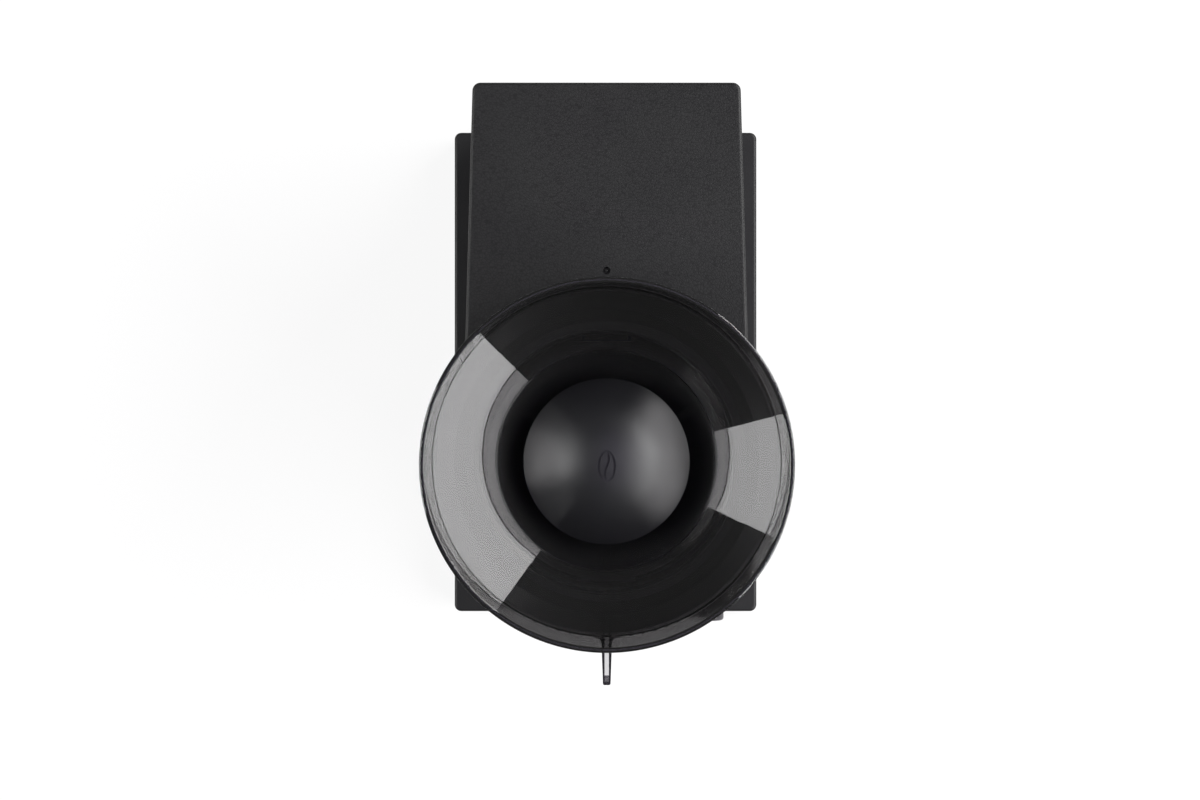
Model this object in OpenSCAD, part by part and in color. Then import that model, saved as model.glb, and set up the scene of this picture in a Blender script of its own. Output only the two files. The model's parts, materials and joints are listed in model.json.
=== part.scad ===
// Burr coffee grinder: a tower on a flat base, with a smoked load bin that is turned to set the grind.
// Millimetres, +Z up, front towards -Y. The origin is the centre of the base's footprint on the table.

/* [Base] */
// Width of the base slab
base_w = 128; // [124:1:134]
// Depth of the base slab
base_d = 203; // [198:1:208]
// Height of the base slab's top above the table
base_top = 22; // [20:1:24]
// Corner radius of the base slab
base_corner = 2.8; // [2:0.1:4]
// Height of the rubber feet under the tray
foot_h = 2; // [1.5:0.1:3]

/* [Tower] */
// Height of the tower's flat top
tower_top = 200; // [198:0.5:202]
// Radius of the head's round front
head_r = 51.65; // [51:0.05:53]
// Draft of the tower's two sides, in degrees
side_draft = 1.59; // [1.2:0.01:1.8]
// Height of the head's underside
head_under = 126; // [124:1:126]
// Front face of the column, measured from the origin
column_front = 5; // [2:0.5:6]
// Wall of the tower's shell
shell_wall = 2.6; // [2:0.1:3]

/* [Load bin] */
// Centre line of the bin and burrs, measured from the origin
axis_y = -33.7; // [-35:0.1:-33]
// Outer radius of the bin
bin_r = 63.2; // [63:0.1:64]
// Height of the bin's rim
bin_top = 256; // [245:1:262]
// Wall of the bin
bin_wall = 1.8; // [1.5:0.1:2.2]
// Height where the bin's wall meets its floor
bin_floor = 214; // [213:0.5:216]
// Reach of the pointer tab from the bin's centre
tab_reach = 77.6; // [74:0.1:80]

/* [Burrs and gears] */
// Largest radius of the cone burr
burr_r = 20; // [19:0.1:20]
// Gap between the two burrs at their lower edge
burr_gap = 0.35; // [0.3:0.01:0.6]
// Teeth of the main gear, turned by the small idler gear
main_teeth = 38; // [38:1:38]
// Teeth of the small idler gear
idler_small_teeth = 12; // [12:1:12]
// Teeth of the large idler gear, turned by the motor
idler_large_teeth = 48; // [48:1:48]
// Teeth of the motor's pinion
pinion_teeth = 10; // [10:1:10]

/* [Catch cup] */
// Outer radius of the catch cup
cup_r = 39; // [36:0.5:40]
// Height of the catch cup's rim
cup_top = 117; // [100:1:118]

/* [Hidden] */
$fn = 64;

eps = 0.01;
fit = 0.03;
half_d = base_d / 2;

// base
base_wall = 2.5;
tray_top = foot_h + 3;
base_edge = 1;
button_x = 43.5;
button_z = 12;
button_r = 7;
button_out = 4.5;
gland_x = -35;
gland_z = 12;
gland_bore = 3.6;
gland_nose = 8;
gland_inside = 10.8;
foot_x = 50;
foot_y = 86;
tray_screw_x = 56;
tray_screw_y = [-60, 0, 60];

// tower
tower_back = half_d;
tower_corner = 2.9;
tower_edge = 1;
top_wall = 3;
bin_hole_r = 46;
dot_y = 34.3;
vent_count = 9;
vent_w = 48;
vent_h = 2.4;
vent_pitch = 6;
vent_bottom = 36;

// bin and dome
floor_slope = 0.6494;
throat_r = 24.5;
throat_out = 27.9;
throat_bottom = 180.4;
floor_thick = 2.4;
skirt_bottom = 205.5;
dome_r = 29.5;
dome_edge = 204;
dome_h = 10;
dome_wall = 2;
dome_ring_r = 24.2;
dome_ring_z = 184;
dome_leg_angles = [30, 150, 270];
dome_sphere = (dome_r * dome_r + dome_h * dome_h) / (2 * dome_h);
dome_centre = dome_edge + dome_h - dome_sphere;
lug_angles = [60, 180, 300];

// dial
dial_out = 63.6;
dial_top = 205;
dial_step = 4;
dial_half = 80;

// burr group
shaft_r = 4;
shaft_bottom = 129.4;
shaft_top = 189;
burr_bottom = 160;
burr_top = 182;
carrier_bottom = 160.8;
carrier_top = 179.4;
carrier_r = 32;
flange_r = 37;
ring_bottom = 180;
ring_top = 189.2;
ring_r = 40;
chamber_floor = 150;
window_top = 155.5;
chute_top = 157;
chamber_screw_angles = [45, 135, 225, 315];
chamber_screw_r = 25;

// gears
stage1_module = 1.25;
stage2_module = 1.5;
stage1_centres = stage1_module * (idler_large_teeth + pinion_teeth) / 2;
stage2_centres = stage2_module * (main_teeth + idler_small_teeth) / 2;
idler_y = axis_y + stage2_centres;
motor_y = idler_y + stage1_centres;
gear_floor = 130;
gear_lid = 145;
main_gear_z = 133.2;
main_gear_face = 6;
idler_split = 139.6;
pressure_angle = 25;
backlash = 0.18;
idler_pin_r = 2.5;

// motor
motor_r = 30;
motor_bottom = 64;
motor_shaft_r = 2.5;
motor_screw_x = 11;

// cup
cup_y = -52;
cup_bottom = base_top + 0.4;
cup_wall = 2;
cup_floor = 2.6;
disc_r = 12;
disc_h = 0.9;

shell_black = [0.17, 0.17, 0.18];
satin_black = [0.1, 0.1, 0.11];
smoke = [0.2, 0.19, 0.22, 0.45];
steel = [0.72, 0.73, 0.75];
zinc = [0.6, 0.62, 0.64];
grey = [0.36, 0.35, 0.37];
nylon = [0.88, 0.86, 0.8];
board_green = [0.05, 0.32, 0.2];
rubber = [0.07, 0.07, 0.07];
copper = [0.75, 0.42, 0.22];
brass = [0.78, 0.62, 0.3];

// ---------- shared shapes ----------

// everything that turns about the bin's centre line is made at the origin and moved here
module at_axis() {
  translate([0, axis_y, 0]) children();
}

// a rectangle with true round corners, centred
module round_rect(w, d, r) {
  square([w - 2 * r, d], center = true);
  square([w, d - 2 * r], center = true);
  for (x = [-1, 1], y = [-1, 1])
    translate([x * (w / 2 - r), y * (d / 2 - r)]) circle(r);
}

// the corner that a round edge leaves out: x and y run back into the material
module edge_waste(r) {
  difference() {
    translate([-r, -r]) square(r + 1);
    translate([-r, -r]) circle(r);
  }
}

module ring(r_out, r_in, z0, z1) {
  translate([0, 0, z0]) difference() {
    cylinder(r = r_out, h = z1 - z0);
    translate([0, 0, -1]) cylinder(r = r_in, h = z1 - z0 + 2);
  }
}

// plan of the tower: drafted sides, a round front and two rounded back corners, set in by t
module tower_plan(t) {
  r = head_r - t;
  back = tower_back - t;
  corner = max(tower_corner - t, 0.6);
  corner_y = back - corner;
  corner_x = (r - corner - (corner_y - axis_y) * sin(side_draft)) / cos(side_draft);
  side = [cos(side_draft), sin(side_draft)];
  front_pt = [0, axis_y] + r * side;
  back_pt = [corner_x, corner_y] + corner * side;
  polygon([
    front_pt, back_pt, [corner_x, back],
    [-corner_x, back], [-back_pt[0], back_pt[1]], [-front_pt[0], front_pt[1]]
  ]);
  translate([0, axis_y]) circle(r);
  for (x = [-1, 1]) translate([x * corner_x, corner_y]) circle(corner);
}

function tower_half_width(y) = (head_r - (y - axis_y) * sin(side_draft)) / cos(side_draft);

// one pan-head screw standing on the origin, its shank going down
module screw(shank_r, head_radius, head_height, length) {
  difference() {
    cylinder(r = head_radius, h = head_height);
    translate([0, 0, head_height * 0.45]) {
      cube([head_radius * 1.2, 0.8, head_height * 2], center = true);
      cube([0.8, head_radius * 1.2, head_height * 2], center = true);
    }
  }
  translate([0, 0, -length]) cylinder(r = shank_r, h = length + eps);
}

// a round lead through a list of points
module lead(points, r) {
  for (i = [0 : len(points) - 2]) {
    a = points[i];
    b = points[i + 1];
    step = b - a;
    length = norm(step);
    translate(a) rotate([0, acos(step[2] / length), atan2(step[1], step[0])])
      cylinder(r = r, h = length);
  }
  for (i = [1 : len(points) - 2]) translate(points[i]) sphere(r * 1.05);
}

// a helical compression spring standing on z = 0
module coil_spring(r, wire, height, turns) {
  sides = 8;
  per_turn = 20;
  rings = turns * per_turn;
  pitch_z = (height - 2 * wire) / rings;
  points = [
    for (i = [0 : rings]) for (k = [0 : sides - 1])
      let (turn = i * 360 / per_turn, w = k * 360 / sides)
        [(r + wire * cos(w)) * cos(turn), (r + wire * cos(w)) * sin(turn),
         wire + i * pitch_z + wire * sin(w)]
  ];
  walls = [
    for (i = [0 : rings - 1]) for (k = [0 : sides - 1])
      [i * sides + k, (i + 1) * sides + k,
       (i + 1) * sides + (k + 1) % sides, i * sides + (k + 1) % sides]
  ];
  first = [[for (k = [0 : sides - 1]) k]];
  last = [[for (k = [sides - 1 : -1 : 0]) rings * sides + k]];
  polyhedron(points, concat(first, walls, last));
}

// plan of one involute spur gear with a round hole; the first tooth points along +X
function involute(base, t) = base * [cos(t) + t * PI / 180 * sin(t), sin(t) - t * PI / 180 * cos(t)];
function turned(p, a) = [p[0] * cos(a) - p[1] * sin(a), p[0] * sin(a) + p[1] * cos(a)];

module gear_plan(teeth, size, hole) {
  pitch = teeth * size / 2;
  base = pitch * cos(pressure_angle);
  tip = pitch + 0.9 * size;
  root = pitch - 1.15 * size;
  steps = 5;
  reach = sqrt(pow(tip / base, 2) - 1) * 180 / PI;
  at_pitch = sqrt(pow(pitch / base, 2) - 1) * 180 / PI;
  lean = at_pitch - pressure_angle;
  half_tooth = 90 / teeth - backlash / 2 / pitch * 180 / PI + lean;
  flank = [for (i = [0 : steps]) involute(base, reach * i / steps)];
  difference() {
    union() {
      circle(max(root, hole + 0.8));
      for (k = [0 : teeth - 1]) rotate(k * 360 / teeth)
        polygon(concat(
          [[root * 0.96, -sin(half_tooth) * base]],
          [for (p = flank) turned(p, -half_tooth)],
          [for (i = [steps : -1 : 0]) turned([flank[i][0], -flank[i][1]], half_tooth)],
          [[root * 0.96, sin(half_tooth) * base]]
        ));
    }
    circle(hole);
  }
}

// ---------- base ----------

module base_block(w, d, r, z0, z1, edge) {
  difference() {
    translate([0, 0, z0]) linear_extrude(z1 - z0) round_rect(w, d, r);
    for (x = [-1, 1]) translate([x * w / 2, 0, z1]) mirror([x < 0 ? 1 : 0, 0, 0])
      rotate([90, 0, 0]) linear_extrude(d + 2, center = true) edge_waste(edge);
    for (y = [-1, 1]) translate([0, y * d / 2, z1]) mirror([0, y < 0 ? 1 : 0, 0])
      rotate([90, 0, 90]) linear_extrude(w + 2, center = true) edge_waste(edge);
  }
}

module base_cover() {
  color(shell_black) difference() {
    union() {
      difference() {
        base_block(base_w, base_d, base_corner, tray_top, base_top, base_edge);
        translate([0, 0, tray_top - 1]) linear_extrude(base_top - tray_top + 1 - base_wall)
          round_rect(base_w - 2 * base_wall, base_d - 2 * base_wall, 1);
      }
      for (x = [-1, 1], y = tray_screw_y)
        translate([x * tray_screw_x, y, tray_top]) cylinder(r = 3.4, h = base_top - base_wall - tray_top + eps);
    }
    for (x = [-1, 1], y = tray_screw_y)
      translate([x * tray_screw_x, y, tray_top - 1]) cylinder(r = 1.25, h = 11);
    translate([button_x, -half_d - 1, button_z]) rotate([-90, 0, 0])
      cylinder(r = button_r + 0.15, h = base_wall + 2);
    translate([gland_x, half_d + 1, gland_z]) rotate([90, 0, 0]) cylinder(r = 5.6, h = base_wall + 2);
    // way up into the column for the leads and the cooling air
    translate([-30, 20, base_top - base_wall - 1]) cube([60, 60, base_wall + 2]);
  }
}

module base_tray() {
  color(satin_black) difference() {
    union() {
      translate([0, 0, foot_h]) linear_extrude(tray_top - foot_h)
        round_rect(base_w - 0.8, base_d - 0.8, base_corner - 0.4);
      translate([0, 0, tray_top]) linear_extrude(2) difference() {
        round_rect(base_w - 2 * base_wall - 0.4, base_d - 2 * base_wall - 0.4, 1);
        round_rect(base_w - 2 * base_wall - 3.4, base_d - 2 * base_wall - 3.4, 1);
        for (x = [-1, 1], y = tray_screw_y) translate([x * tray_screw_x, y]) circle(3.8);
        translate([button_x, -half_d]) square([24, 20], center = true);
        translate([gland_x, half_d]) square([22, 20], center = true);
      }
    }
    for (x = [-1, 1], y = [-1, 1])
      translate([x * foot_x, y * foot_y, foot_h - 1]) cylinder(r = 7.1, h = 2);
    for (x = [-1, 1], y = tray_screw_y) translate([x * tray_screw_x, y, foot_h - 1]) {
      cylinder(r = 1.7, h = 6);
      cylinder(r = 3.1, h = 2.6);
    }
    // air slots under the motor
    for (i = [-3 : 3]) translate([-22, 50 + 7 * i, foot_h - 1])
      cube([44, 2.6, 5]);
  }
}

module rubber_feet() {
  color(rubber) for (x = [-1, 1], y = [-1, 1]) translate([x * foot_x, y * foot_y, 0])
    rotate_extrude() {
      square([6.2, foot_h + 1]);
      translate([0, 0.8]) square([7, foot_h + 0.2]);
      translate([6.2, 0.8]) circle(0.8);
    }
}

module tray_screws() {
  color(zinc) for (x = [-1, 1], y = tray_screw_y)
    translate([x * tray_screw_x, y, foot_h + 1.6]) mirror([0, 0, 1]) screw(1.2, 2.8, 1.4, 9);
}

// ---------- power button ----------

module power_button() {
  front = -half_d - button_out;
  soft = 1.6;
  color(grey) translate([button_x, front, button_z]) rotate([-90, 0, 0]) {
    rotate_extrude() {
      translate([0, soft]) square([button_r, button_out + base_wall - soft]);
      square([button_r - soft, soft + eps]);
      translate([button_r - soft, soft]) circle(soft);
    }
    // ears behind the wall keep the button in
    translate([0, 0, button_out + base_wall + 0.2]) intersection() {
      cylinder(r = 9, h = 1.5);
      cube([18, 2 * button_r - 1, 4], center = true);
    }
    translate([0, 0, button_out + base_wall - eps]) cylinder(r = button_r - 1.5, h = 0.5);
    translate([0, 0, button_out + base_wall + 1.6]) cylinder(r = 3, h = 3.3);
  }
}

spring_front = -half_d + base_wall + 1.75;
bracket_y = spring_front + 7.1;

module button_spring() {
  color(steel) translate([button_x, spring_front, button_z]) rotate([-90, 0, 0])
    coil_spring(4.9, 0.4, 7, 4);
}

module button_bracket() {
  color(nylon) difference() {
    translate([button_x - 9, bracket_y, tray_top]) cube([18, 2, 13.8]);
    translate([button_x, bracket_y - 1, button_z]) rotate([-90, 0, 0]) cylinder(r = 3.4, h = 4);
  }
}

module button_switch() {
  color(satin_black) {
    translate([button_x - 3.2, bracket_y + 2.1, button_z - 3.2]) cube([6.4, 3.6, 6.4]);
    translate([button_x, bracket_y - 0.28, button_z]) rotate([-90, 0, 0]) cylinder(r = 1.6, h = 2.4);
  }
}

module control_board() {
  color(board_green) translate([button_x - 14, bracket_y + 5.8, tray_top + 0.4]) cube([28, 1.6, 13.4]);
  color(satin_black) {
    translate([button_x - 10, bracket_y + 7.4, button_z - 3]) cube([7, 1.4, 7]);
    translate([button_x + 2, bracket_y + 7.4, button_z - 4]) cube([9, 4.2, 6]);
  }
}

// ---------- cord inlet and leads ----------

module cord_gland() {
  flange = 1.2;
  color(rubber) translate([gland_x, half_d, gland_z]) rotate([90, 0, 0]) difference() {
    union() {
      // nose outside, two flanges that grip the base's wall, and a sleeve inside
      translate([0, 0, -gland_nose]) cylinder(r1 = 4.9, r2 = 5.6, h = gland_nose - flange);
      translate([0, 0, -flange]) cylinder(r = 6.8, h = flange);
      translate([0, 0, -eps]) cylinder(r = 5.4, h = base_wall + 0.2);
      translate([0, 0, base_wall + 0.1]) cylinder(r = 6.8, h = flange + 0.4);
      translate([0, 0, base_wall + flange]) cylinder(r = 5.4, h = gland_inside - base_wall - flange);
    }
    translate([0, 0, -gland_nose - 1]) cylinder(r = gland_bore, h = gland_nose + gland_inside + 2);
  }
}

module mains_lead() {
  color(rubber) lead([[gland_x + 4, 84, 12], [-24, 78, 12], [-22, 74, 18], [-22, 75.6, 44]], 2.4);
}

module locating_magnet() {
  color(steel) translate([0, cup_y, base_top - base_wall - 3.1]) cylinder(r = 10, h = 3);
}

// ---------- tower ----------

module head_and_column(t, z_under, z_top, front) {
  translate([0, 0, z_under]) linear_extrude(z_top - z_under) tower_plan(t);
  translate([0, 0, base_top]) linear_extrude(z_under - base_top + eps) intersection() {
    tower_plan(t);
    translate([-100, front]) square([200, 200]);
  }
}

module body_shell() {
  half_back = tower_half_width(tower_back);
  color(shell_black) difference() {
    head_and_column(0, head_under, tower_top, column_front);
    // hollow, with four bosses left for the head floor's screws
    difference() {
      translate([0, 0, base_top - 1]) linear_extrude(tower_top - top_wall - base_top + 1)
        tower_plan(shell_wall);
      for (p = floor_screws) translate([p[0], p[1], head_under + shell_wall + 0.15]) difference() {
        cylinder(r = 4.6, h = 12);
        translate([0, 0, -1]) cylinder(r = 1.55, h = 11);
      }
    }
    // opening for the bin
    at_axis() translate([0, 0, tower_top - 10]) cylinder(r = bin_hole_r, h = 20);
    // round top edges
    for (x = [-1, 1]) mirror([x < 0 ? 1 : 0, 0, 0])
      translate([half_back, tower_back, tower_top]) rotate([0, 0, side_draft])
        rotate([90, 0, 0]) translate([0, 0, -3]) linear_extrude(tower_back - axis_y) edge_waste(tower_edge);
    translate([0, tower_back, tower_top]) rotate([90, 0, 90])
      linear_extrude(2 * head_r + 10, center = true) edge_waste(tower_edge);
    // alignment dot
    translate([0, dot_y, tower_top - 0.6]) difference() {
      cylinder(r = 1.35, h = 1);
      cylinder(r = 0.55, h = 0.45);
    }
    // air slots in the back
    for (i = [0 : vent_count - 1]) translate([-vent_w / 2, tower_back - 5, vent_bottom + vent_pitch * i])
      cube([vent_w, 10, vent_h]);
  }
}

// where the head floor is screwed to bosses in the shell
floor_screws = [[31.5, -65.2], [43.8, -8], [-31.5, -65.2], [-43.8, -8]];

module front_panel() {
  gap = 0.15;
  color(shell_black) translate([0, 0, base_top]) linear_extrude(head_under - base_top) intersection() {
    tower_plan(shell_wall + gap);
    translate([-100, column_front]) square([200, shell_wall]);
  }
}

chute_x = 11;
chute_back = axis_y - 32.7;
chute_front = -80;
chute_mouth = 124;

module head_floor() {
  gap = 0.15;
  color(shell_black) difference() {
    translate([0, 0, head_under]) linear_extrude(shell_wall) intersection() {
      tower_plan(shell_wall + gap);
      translate([-100, -200]) square([200, 200 + column_front + shell_wall]);
    }
    translate([-chute_x - 0.2, chute_front - 0.2, head_under - 1])
      cube([2 * chute_x + 0.4, chute_back - chute_front + 0.4, 5]);
    for (p = floor_screws) translate([p[0], p[1], head_under - 1]) {
      cylinder(r = 1.7, h = 5);
      cylinder(r = 3.1, h = 2.2);
    }
  }
}

module panel_screws() {
  color(zinc) for (p = floor_screws)
    translate([p[0], p[1], head_under + 1.2]) mirror([0, 0, 1]) screw(1.5, 2.9, 1.1, 8);
}

module dial_ring() {
  skirt_bottom_z = tower_top - 8;
  // a collar stands up inside the bin's skirt, just under its sloped floor
  collar_r = bin_r - bin_wall - 0.4;
  collar_in = 54.5;
  collar_gap = 1.3;
  color(satin_black) at_axis() difference() {
    union() {
      rotate_extrude() polygon([
        [47.5, tower_top], [61.1, tower_top], [61.1, skirt_bottom_z],
        [dial_out - 0.4, skirt_bottom_z], [dial_out, skirt_bottom_z + 0.4],
        [dial_out, dial_top - 0.5], [dial_out - 0.5, dial_top],
        [collar_r, dial_top], [collar_r, cone_under(collar_r) - collar_gap],
        [collar_in, cone_under(collar_in) - collar_gap], [50.5, tower_top + 1.5], [47.5, tower_top + 1.5]
      ]);
      for (a = [-dial_half : dial_step : dial_half])
        rotate([0, 0, a - 90]) translate([dial_out - 0.3, 0, dial_top - 2])
          rotate([0, 90, 0]) cylinder(r = a % (4 * dial_step) == 0 ? 0.85 : 0.55, h = 1.25);
    }
    translate([0, -axis_y, skirt_bottom_z - 1]) linear_extrude(tower_top - skirt_bottom_z + 1)
      tower_plan(-0.15);
  }
}

// ---------- electronics in the column ----------

board_y = 78;

module power_board() {
  color(board_green) translate([-36, board_y, 34]) cube([72, 1.6, 84]);
}

module board_parts() {
  translate([0, board_y + 1.6, 0]) {
    color(satin_black) translate([-30, 0, 84]) cube([26, 15, 24]);
    color(nylon) translate([4, 0, 90]) cube([22, 12, 16]);
    for (x = [6, 19]) color(satin_black) translate([x, 7.2, 56]) cylinder(r = 6, h = 22);
    color(steel) translate([-30, 0, 58]) cube([24, 10, 3]);
    color(nylon) translate([-28, 0, 40]) cube([20, 9, 10]);
    color(nylon) translate([8, 0, 38]) cube([18, 9, 10]);
  }
}

// ---------- motor ----------

module at_motor() {
  translate([0, motor_y, 0]) children();
}

module motor_can() {
  color(steel) at_motor() {
    ring(motor_r, motor_r - 2, motor_bottom, gear_floor - 2);
    difference() {
      ring(motor_r, 7, gear_floor - 2, gear_floor);
      for (a = [0, 180]) rotate([0, 0, a]) translate([motor_screw_x, 0, gear_floor - 3]) cylinder(r = 1.6, h = 5);
    }
  }
}

// the two motor leads run down outside the fan
lead_x = 27.2;

module motor_end_cap() {
  color(nylon) at_motor() {
    difference() {
      ring(motor_r, 25, motor_bottom - 3, motor_bottom);
      for (x = [-1, 1]) translate([x * lead_x, 0, motor_bottom - 4]) cylinder(r = 1.4, h = 5);
    }
    ring(25.2, 7, motor_bottom - 6, motor_bottom - 2.9);
    for (a = [45, 135, 225, 315]) rotate([0, 0, a])
      translate([23, -3, motor_bottom - 6]) cube([5, 6, 3.2]);
  }
}

module motor_magnets() {
  color(satin_black) at_motor() for (a = [0, 180]) rotate([0, 0, a - 60])
    translate([0, 0, 76]) rotate_extrude(angle = 120) translate([24.6, 0]) square([3.3, 42]);
}

module motor_bearings() {
  color(brass) at_motor() {
    ring(7, motor_shaft_r + fit, gear_floor - 5, gear_floor + 0.5);
    ring(7, motor_shaft_r + fit, motor_bottom - 6, motor_bottom - 1);
  }
}

module motor_brushes() {
  color(satin_black) at_motor() for (a = [0, 180]) rotate([0, 0, a])
    translate([8.4, -3, motor_bottom + 1]) cube([12, 6, 7]);
}

module motor_screws() {
  color(zinc) at_motor() for (a = [0, 180]) rotate([0, 0, a])
    translate([motor_screw_x, 0, gear_floor + 2]) screw(1.5, 2.8, 1.6, 5);
}

module motor_leads() {
  for (x = [-1, 1]) color(x < 0 ? [0.7, 0.1, 0.08] : satin_black)
    lead([[x * 20.6, motor_y, motor_bottom + 4], [x * lead_x, motor_y, motor_bottom + 4],
          [x * lead_x, motor_y, 46], [x * lead_x, board_y - 0.2, 46]], 0.7);
}

module motor_rotor() {
  at_motor() {
    color(steel) translate([0, 0, 50]) cylinder(r = motor_shaft_r, h = gear_lid - 50.6);
    color(zinc) difference() {
      ring(23.8, motor_shaft_r, 78, 116);
      for (k = [0 : 11]) rotate([0, 0, k * 30]) translate([18, -1.2, 77]) cube([8, 2.4, 40]);
    }
    color(copper) ring(8, motor_shaft_r, motor_bottom + 1, motor_bottom + 10);
  }
}

module cooling_fan() {
  color(nylon) at_motor() {
    ring(7, motor_shaft_r, 50, 57);
    ring(24, 7 - eps, 50, 51.5);
    for (k = [0 : 8]) rotate([0, 0, k * 40]) translate([6.8, -0.8, 51.5 - eps])
      rotate([0, 0, 12]) cube([16.5, 1.6, 5]);
  }
}

pinion_z = idler_split + 0.4;

module motor_pinion() {
  color(steel) at_motor() translate([0, 0, pinion_z]) rotate([0, 0, 90 + 180 / pinion_teeth + 180])
    linear_extrude(4.4) gear_plan(pinion_teeth, stage1_module, motor_shaft_r);
}

// ---------- gearbox ----------

module gearbox_plan(t) {
  translate([0, axis_y]) circle(30.4 + t);
  translate([0, idler_y]) circle(31.7 + t);
  translate([0, motor_y]) circle(15.5 + t);
}

boss_points = [[31, -13], [-31, -13], [32, 26], [-32, 26]];

module gearbox_bosses(r, z0, z1) {
  for (p = boss_points) translate([p[0], p[1], z0]) cylinder(r = r, h = z1 - z0);
}

module gearbox_housing() {
  wall = 2;
  color(grey) difference() {
    union() {
      translate([0, 0, gear_floor]) linear_extrude(gear_lid - gear_floor) gearbox_plan(wall);
      gearbox_bosses(6, gear_floor, gear_lid);
    }
    translate([0, 0, gear_floor + 2]) linear_extrude(20) gearbox_plan(0);
    gearbox_bosses(1.6, gear_floor + 3, gear_lid + 1);
    at_axis() translate([0, 0, gear_floor - 1]) cylinder(r = 8, h = 5);
    translate([0, idler_y, gear_floor - 1]) cylinder(r = idler_pin_r, h = 5);
    at_motor() {
      translate([0, 0, gear_floor - 1]) cylinder(r = 7, h = 5);
      for (x = [-1, 1]) translate([x * motor_screw_x, 0, gear_floor - 1]) cylinder(r = 1.6, h = 5);
    }
  }
}

module gearbox_lid() {
  color(grey) difference() {
    union() {
      translate([0, 0, gear_lid]) linear_extrude(2) gearbox_plan(2);
      gearbox_bosses(6, gear_lid, gear_lid + 2);
    }
    gearbox_bosses(1.8, gear_lid - 1, gear_lid + 3);
    at_axis() {
      translate([0, 0, gear_lid - 1]) cylinder(r = 9, h = 5);
      for (a = chamber_screw_angles) rotate([0, 0, a])
        translate([chamber_screw_r, 0, gear_lid - 1]) cylinder(r = 1.6, h = 5);
    }
    translate([0, idler_y, gear_lid - 1]) cylinder(r = idler_pin_r, h = 5);
  }
}

module gearbox_screws() {
  color(zinc) for (p = boss_points) translate([p[0], p[1], gear_lid + 2]) screw(1.5, 2.9, 1.8, 10);
}

module idler_pin() {
  color(steel) translate([0, idler_y, gear_floor]) cylinder(r = idler_pin_r, h = gear_lid + 2 - gear_floor);
}

module idler_gear() {
  color(nylon) translate([0, idler_y, 0]) {
    translate([0, 0, idler_split]) rotate([0, 0, 90])
      linear_extrude(5) gear_plan(idler_large_teeth, stage1_module, idler_pin_r + fit);
    translate([0, 0, main_gear_z - 0.6]) rotate([0, 0, -90 + 180 / idler_small_teeth])
      linear_extrude(idler_split - main_gear_z + 0.6 + eps)
        gear_plan(idler_small_teeth, stage2_module, idler_pin_r + fit);
  }
}

module main_gear() {
  color(nylon) at_axis() {
    translate([0, 0, main_gear_z]) rotate([0, 0, 90])
      difference() {
        linear_extrude(main_gear_face) gear_plan(main_teeth, stage2_module, shaft_r);
        for (k = [0 : 5]) rotate([0, 0, k * 60]) translate([15.5, 0, -1]) cylinder(r = 5, h = 8);
      }
  }
}

// ---------- drive shaft and burrs ----------

module drive_shaft() {
  color(steel) at_axis() {
    translate([0, 0, shaft_bottom]) cylinder(r = shaft_r, h = shaft_top - shaft_bottom);
    ring(5.6, shaft_r - 0.5, 140.2, 144.4);
  }
}

module shaft_bearings() {
  color(steel) at_axis() {
    ring(8, shaft_r + fit, 129.2, 132.8);
    ring(9, shaft_r + fit, gear_lid, 149.6);
  }
}

module shaft_seal() {
  color(rubber) at_axis() ring(9, shaft_r + 0.06, 149.6, 150.4);
}

module sweeper() {
  color(steel) at_axis() difference() {
    union() {
      translate([0, 0, 150.9]) cylinder(r = 22, h = 1.6);
      translate([0, 0, 152]) cylinder(r = 8, h = 8);
      for (k = [0 : 3]) rotate([0, 0, k * 90 + 45]) translate([7, -1.2, 152]) cube([20, 2.4, 5.4]);
    }
    translate([0, 0, 140]) cylinder(r = shaft_r, h = 30);
  }
}

module cone_burr() {
  color(steel) at_axis() difference() {
    rotate_extrude() polygon([
      [shaft_r, burr_bottom], [burr_r, burr_bottom], [burr_r, burr_bottom + 4],
      [12, burr_top], [shaft_r, burr_top]
    ]);
    for (k = [0 : 11]) rotate([0, 0, k * 30]) translate([20.4, 0, burr_bottom + 4.6])
      rotate([0, -24, 0]) rotate([12, 0, 0]) translate([-1.6, -0.1, 0]) rotate([0, 0, 45])
        cube([2.2, 2.2, 26]);
  }
}

module burr_nut() {
  color(steel) at_axis() difference() {
    union() {
      translate([0, 0, burr_top]) cylinder(r = 8.5, h = 1);
      translate([0, 0, burr_top + 1 - eps]) cylinder(r = 7, h = 5, $fn = 6);
    }
    translate([0, 0, burr_top - 1]) cylinder(r = shaft_r, h = 20);
  }
}

module outer_burr() {
  inner = burr_r + burr_gap;
  color(steel) at_axis() difference() {
    rotate_extrude() polygon([
      [inner, 161], [26.5, 161], [26.5, 177], [24.5, 177], [inner, 165]
    ]);
    for (k = [0 : 23]) rotate([0, 0, k * 15]) translate([inner - 0.9, 0, 165.5])
      rotate([0, 19, 0]) rotate([0, 0, 45]) cube([1.6, 1.6, 20]);
  }
}

module burr_carrier() {
  color(grey) at_axis() {
    ring(carrier_r, 26.5, carrier_bottom, 177);
    ring(carrier_r, 23, 177, carrier_top);
    ring(flange_r, carrier_r - eps, 176.5, carrier_top);
    for (a = lug_angles) rotate([0, 0, a]) translate([flange_r - 0.5, -3, 176.5])
      cube([2.3, 6, carrier_top - 176.5]);
  }
}

module carrier_spring() {
  color(steel) at_axis() translate([0, 0, 163.1]) coil_spring(34.6, 0.8, 13.3, 4);
}

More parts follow.
